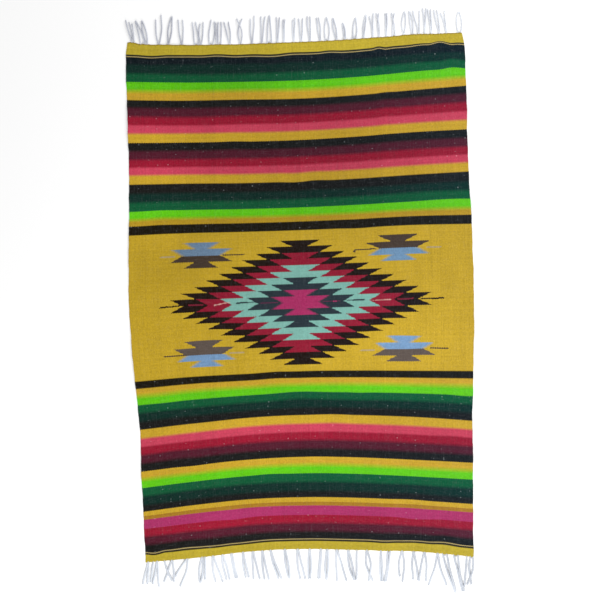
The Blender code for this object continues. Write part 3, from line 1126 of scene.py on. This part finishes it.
def strand_line(strand, hem, number):
    """Points along the middle of a strand, from inside the cloth's hem to its tip."""
    hem_y, root_height = hem_point(strand.root, hem)
    free_height = hem.ply_radius + hem.ply_offset + STRAND_CLEARANCE
    points = []
    for k in range(STRAND_SAMPLES + 1):
        t = k / STRAND_SAMPLES
        x = smooth([0, 0.5, 1], [strand.root, strand.middle, strand.tip], t)
        x += STRAND_SWAY * t * math.sin(7.0 * t + 2.4 * number)
        y = hem_y + hem.outward * (-ROOT_INSET + (strand.reach + HEADER_REACH + ROOT_INSET) * t)
        settled = min(1.0, SETTLING * t)
        height = root_height + (free_height - root_height) * settled
        height += strand.lift * math.sin(math.pi * t**1.5)
        points.append(to_frame(x, y, height))
    return points


def loop_line(lock, hem, number):
    """Points along an uncut loop of warp, up one side and down the other."""
    left, right = strands_of(lock)
    reach = (left.reach + right.reach) / 2
    sides = [strand_line(strand._replace(reach=reach), hem, number) for strand in (left, right)]
    closed = []
    for k, (one, other) in enumerate(zip(*sides)):
        t = k / STRAND_SAMPLES
        middle = (one + other) / 2
        apart = math.sqrt(1 - t**LOOP_END)
        closed.append((middle + (one - middle) * apart, middle + (other - middle) * apart))
    return [pair[0] for pair in closed] + [pair[1] for pair in reversed(closed[:-1])]


def evenly(points, spacing):
    """Points at an even spacing along the line through the given ones."""
    lengths = [0.0]
    for a, b in zip(points, points[1:]):
        lengths.append(lengths[-1] + (b - a).length)
    count = max(2, round(lengths[-1] / spacing))
    made, i = [], 0
    for k in range(count + 1):
        place = lengths[-1] * k / count
        while i < len(points) - 2 and lengths[i + 1] < place:
            i += 1
        share = (place - lengths[i]) / (lengths[i + 1] - lengths[i])
        made.append(points[i].lerp(points[i + 1], share))
    return made


def ply_lines(line, hem, phase, is_closed):
    """The two plies that twist round a line, each a list of points and widths."""
    plies = ([], [])
    last = len(line) - 1
    for i, point in enumerate(line):
        along = (line[min(i + 1, last)] - line[max(i - 1, 0)]).normalized()
        side = along.cross(UP).normalized()
        up = side.cross(along)
        angle = phase + 2 * math.pi * i * POINT_SPACING / TWIST_LENGTH
        from_root = (min(i, last - i) if is_closed else i) * POINT_SPACING
        grown = min(1.0, from_root / ROOT_LENGTH)
        fray = 0.0 if is_closed else max(0.0, 1 - (last - i) * POINT_SPACING / FRAY_LENGTH)
        offset = hem.ply_offset * (ROOT_OFFSET + (1 - ROOT_OFFSET) * grown) * (1 + FRAY_SPREAD * fray)
        width = (ROOT_WIDTH + (1 - ROOT_WIDTH) * grown) * (1 - FRAY_THINNING * fray)
        for k, ply in enumerate(plies):
            turn = angle + k * math.pi
            place = point + (side * math.cos(turn) + up * math.sin(turn)) * offset * MM
            place.z = max(place.z, (hem.ply_radius + PLY_CLEARANCE) * MM)
            ply.append((place, width))
    return plies


def fray_fibres(line, number):
    """A few loose fibres that stand out from a strand's tip."""
    tip, before = line[-1], line[-4]
    along = (tip - before).normalized()
    side = along.cross(UP).normalized()
    fibres = []
    for k in range(FRAY_FIBRES):
        spread = math.sin(number * 1.7 + k * 2.2) * 0.45
        reach = (3.2 + 1.6 * math.cos(number * 2.9 + k * 1.3)) * MM
        start = before.lerp(tip, 0.3 + 0.3 * k)
        bend = (along + side * spread * 0.5).normalized()
        end = (along + side * spread).normalized()
        points = [start, start + bend * reach * 0.5, start + bend * reach * 0.5 + end * reach * 0.6]
        for point in points[1:]:
            point.z = max(point.z - 0.5 * MM, 0.4 * MM)
        fibres.append(list(zip(points, FRAY_WIDTHS)))
    return fibres


def knot_line(lock, hem, number):
    """The turns of a knot round the roots of a lock, with their widths."""
    hem_y, height = hem_point(lock.root, hem)
    half = KNOT_RADIUS * KNOT_FLATNESS + min(knotted_foot(lock) / 2, KNOT_REACH)
    points = []
    for k in range(KNOT_POINTS + 1):
        t = k / KNOT_POINTS
        turn = 2 * math.pi * KNOT_TURNS * t + number
        x = lock.root + half * math.cos(turn)
        y = hem_y + hem.outward * (KNOT_GAP + KNOT_DEPTH * t)
        z = max(height + KNOT_RADIUS * math.sin(turn), KNOT_YARN + 0.05)
        swell = KNOT_END_WIDTH + (1 - KNOT_END_WIDTH) * math.sin(math.pi * t)
        points.append((to_frame(x, y, z), KNOT_YARN / hem.ply_radius * swell))
    return points


def make_fringe(name, locks, hem, material):
    """A fringe: twisted warp strands, uncut loops among them, each lock tied in a knot at the hem."""
    curve = bpy.data.curves.new(name, "CURVE")
    curve.dimensions = "3D"
    curve.bevel_depth = hem.ply_radius * MM
    curve.bevel_resolution = 1
    curve.use_fill_caps = True
    yarns = []
    for number, lock in enumerate(locks):
        if is_loop(lock):
            line = evenly(loop_line(lock, hem, number), POINT_SPACING * MM)
            yarns += ply_lines(line, hem, number, True)
        else:
            for k, strand in enumerate(strands_of(lock)):
                line = evenly(strand_line(strand, hem, number + 0.5 * k), POINT_SPACING * MM)
                yarns += ply_lines(line, hem, number + 1.3 * k, False)
                yarns += fray_fibres(line, number + 0.5 * k)
        yarns.append(knot_line(lock, hem, number))
    for yarn_points in yarns:
        spline = curve.splines.new("POLY")
        spline.points.add(len(yarn_points) - 1)
        for point, (place, width) in zip(spline.points, yarn_points):
            point.co = (*place, 1.0)
            point.radius = width
    drawn = bpy.data.objects.new(name, curve)
    bpy.context.scene.collection.objects.link(drawn)
    bpy.context.view_layer.update()
    mesh = bpy.data.meshes.new_from_object(drawn.evaluated_get(bpy.context.evaluated_depsgraph_get()))
    bpy.data.objects.remove(drawn)
    bm = bmesh.new()
    bm.from_mesh(mesh)
    bmesh.ops.remove_doubles(bm, verts=bm.verts[:], dist=0.01 * MM)
    bmesh.ops.recalc_face_normals(bm, faces=bm.faces[:])
    bm.to_mesh(mesh)
    bm.free()
    return new_object(name, mesh, material)


FLOOR_RADIUS = 14.0  # metres
FLOOR_DROP = 0.1  # millimetres under the surface that the cloth lies on


def make_floor():
    """A plain pale floor just under the cloth."""
    bm = bmesh.new()
    bmesh.ops.create_circle(bm, cap_ends=True, segments=96, radius=FLOOR_RADIUS)
    bmesh.ops.translate(bm, verts=bm.verts[:], vec=(0, 0, -FLOOR_DROP * MM))
    mesh = bpy.data.meshes.new("studio_floor")
    bm.to_mesh(mesh)
    bm.free()
    material, _, shader = new_material("studio_floor", 0.9, 0.0, 0.5)
    shader.inputs["Base Color"].default_value = (0.96, 0.96, 0.96, 1)
    return new_object("studio_floor", mesh, material)


def add_light(name, place, aim, size, power):
    """A square soft light, aimed at a point."""
    data = bpy.data.lights.new(name, "AREA")
    data.size = size
    data.energy = power
    light = bpy.data.objects.new(name, data)
    light.location = place
    light.rotation_euler = (Vector(aim) - Vector(place)).to_track_quat("-Z", "Y").to_euler()
    bpy.context.scene.collection.objects.link(light)


def add_lights():
    """Soft studio light: an even surround, and two large soft boxes."""
    world = bpy.data.worlds.new("studio")
    world.use_nodes = True
    background = world.node_tree.nodes["Background"]
    background.inputs["Color"].default_value = (1.0, 1.0, 1.0, 1)
    background.inputs["Strength"].default_value = 0.80
    bpy.context.scene.world = world
    add_light("soft_box_low", (0.2, -2.5, 1.7), (0.8, -1.6, 0), 1.5, 50)
    add_light("soft_box_right", (2.0, 1.8, 1.5), (0.3, 1.2, 0), 1.3, 31)


CAMERA_HEIGHT = 6.0
FRAME_WIDTH = 2.16  # metres across the picture, at the floor
SENSOR = 36.0


def add_camera():
    """The camera square above the cloth."""
    data = bpy.data.cameras.new("overhead")
    data.sensor_width = SENSOR
    data.lens = SENSOR * CAMERA_HEIGHT / FRAME_WIDTH
    camera = bpy.data.objects.new("overhead", data)
    camera.location = (0.0011, 0.0033, CAMERA_HEIGHT)
    bpy.context.scene.collection.objects.link(camera)
    bpy.context.scene.camera = camera


add_camera()
add_lights()
floor = make_floor()

web = make_web()
# Both fringes are one cotton: their two copies differ in tone by painted shade, greyer towards the left at
# the top and towards the right at the bottom
top_cotton = fringe_material("warp_cotton_top", (234, 238, 244), (184, 186, 197), -0.5)
bottom_cotton = fringe_material("warp_cotton_bottom", (220, 225, 232), (186, 190, 198), 0.3)
upper_hem = Hem(UPPER_HEM, 1, section_at(UPPER_HEM), 1.35, 1.25)
lower_hem = Hem(LOWER_HEM, -1, section_at(LOWER_HEM), 2.1, 1.9)
fringe_top = make_fringe("fringe_top_twisted", TOP_LOCKS, upper_hem, top_cotton)
fringe_bottom = make_fringe("fringe_bottom_twisted", BOTTOM_LOCKS, lower_hem, bottom_cotton)
for piece, node, slot in (
    (web, "web", "weft_yarn"),
    (fringe_top, "fringe_top", "warp_yarn"),
    (fringe_bottom, "fringe_bottom", "warp_yarn"),
):
    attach(piece, "root")
    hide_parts(node)

bpy.context.scene.view_settings.view_transform = "Standard"
